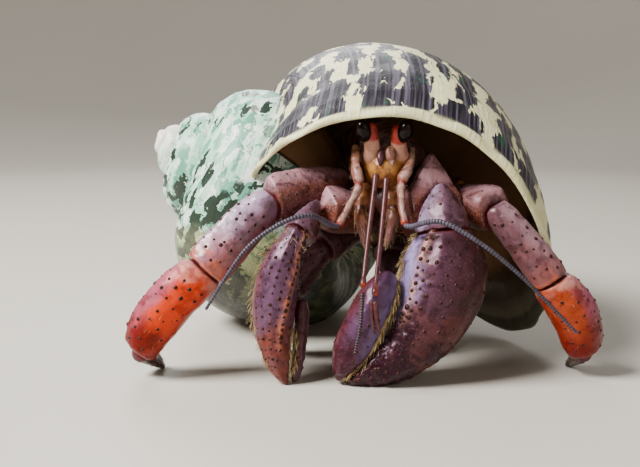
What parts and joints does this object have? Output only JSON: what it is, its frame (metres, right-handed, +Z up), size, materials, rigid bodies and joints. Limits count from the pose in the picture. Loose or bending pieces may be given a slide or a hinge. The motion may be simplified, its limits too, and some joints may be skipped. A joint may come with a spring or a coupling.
{
  "type": "hermit crab",
  "caption": "Land hermit crab standing on its claws and legs in a coiled turban shell, a life-size still model with lilac claws, coral shins and long ringed feelers.",
  "frame": {"origin": "middle of the footprint on the floor", "axes": "+Z up, the crab faces -Y and its own left side is towards +X"},
  "size_m": [0.0642, 0.0636, 0.0457],
  "materials": {
    "shell": "limy turban shell, cream with charcoal flames, mint green on the spire",
    "lilac_crust": "hard lilac-purple limb crust with dark-tipped tubercles, satin gloss",
    "leg_coral": "coral-red shin of the walking legs, satin gloss",
    "head_cream": "cream-pink crust of the eyestalks and feeler bases",
    "mouth_amber": "amber crust of the face, mouth limbs and chest",
    "eye": "polished dark brown cornea",
    "feeler": "grey-violet ringed feeler",
    "soft_skin": "soft bare skin of the abdomen"
  },
  "bodies": {
    "root": {"shell": "shell", "shield": "lilac_crust", "thorax": "mouth_amber", "face": "mouth_amber", "abdomen": "soft_skin", "leg2_r_merus": "lilac_crust", "leg2_r_carpus": "lilac_crust", "leg2_r_propodus": "leg_coral", "leg2_r_dactyl": "lilac_crust", "leg2_l_merus": "lilac_crust", "leg2_l_carpus": "lilac_crust", "leg2_l_propodus": "leg_coral", "leg2_l_dactyl": "lilac_crust", "leg3_r_merus": "lilac_crust", "leg3_r_carpus": "lilac_crust", "leg3_r_propodus": "leg_coral", "leg3_r_dactyl": "lilac_crust", "leg3_l_merus": "lilac_crust", "leg3_l_carpus": "lilac_crust", "leg3_l_propodus": "leg_coral", "leg3_l_dactyl": "lilac_crust", "leg4_r": "mouth_amber", "leg4_l": "mouth_amber", "claw_l_merus": "lilac_crust", "claw_l_carpus": "lilac_crust", "claw_l_palm": "lilac_crust", "claw_l_dactyl": "lilac_crust", "claw_r_merus": "lilac_crust", "claw_r_carpus": "lilac_crust", "claw_r_palm": "lilac_crust", "claw_r_dactyl": "lilac_crust", "eyestalk_r": "head_cream", "cornea_r": "eye", "scale_r": "head_cream", "antennule_r": "head_cream", "antennule_tip_r": "feeler", "antenna_r": "head_cream", "flagellum_r": "feeler", "maxilliped_r": "mouth_amber", "eyestalk_l": "head_cream", "cornea_l": "eye", "scale_l": "head_cream", "antennule_l": "head_cream", "antennule_tip_l": "feeler", "antenna_l": "head_cream", "flagellum_l": "feeler", "maxilliped_l": "mouth_amber"}
  },
  "joints": []
}
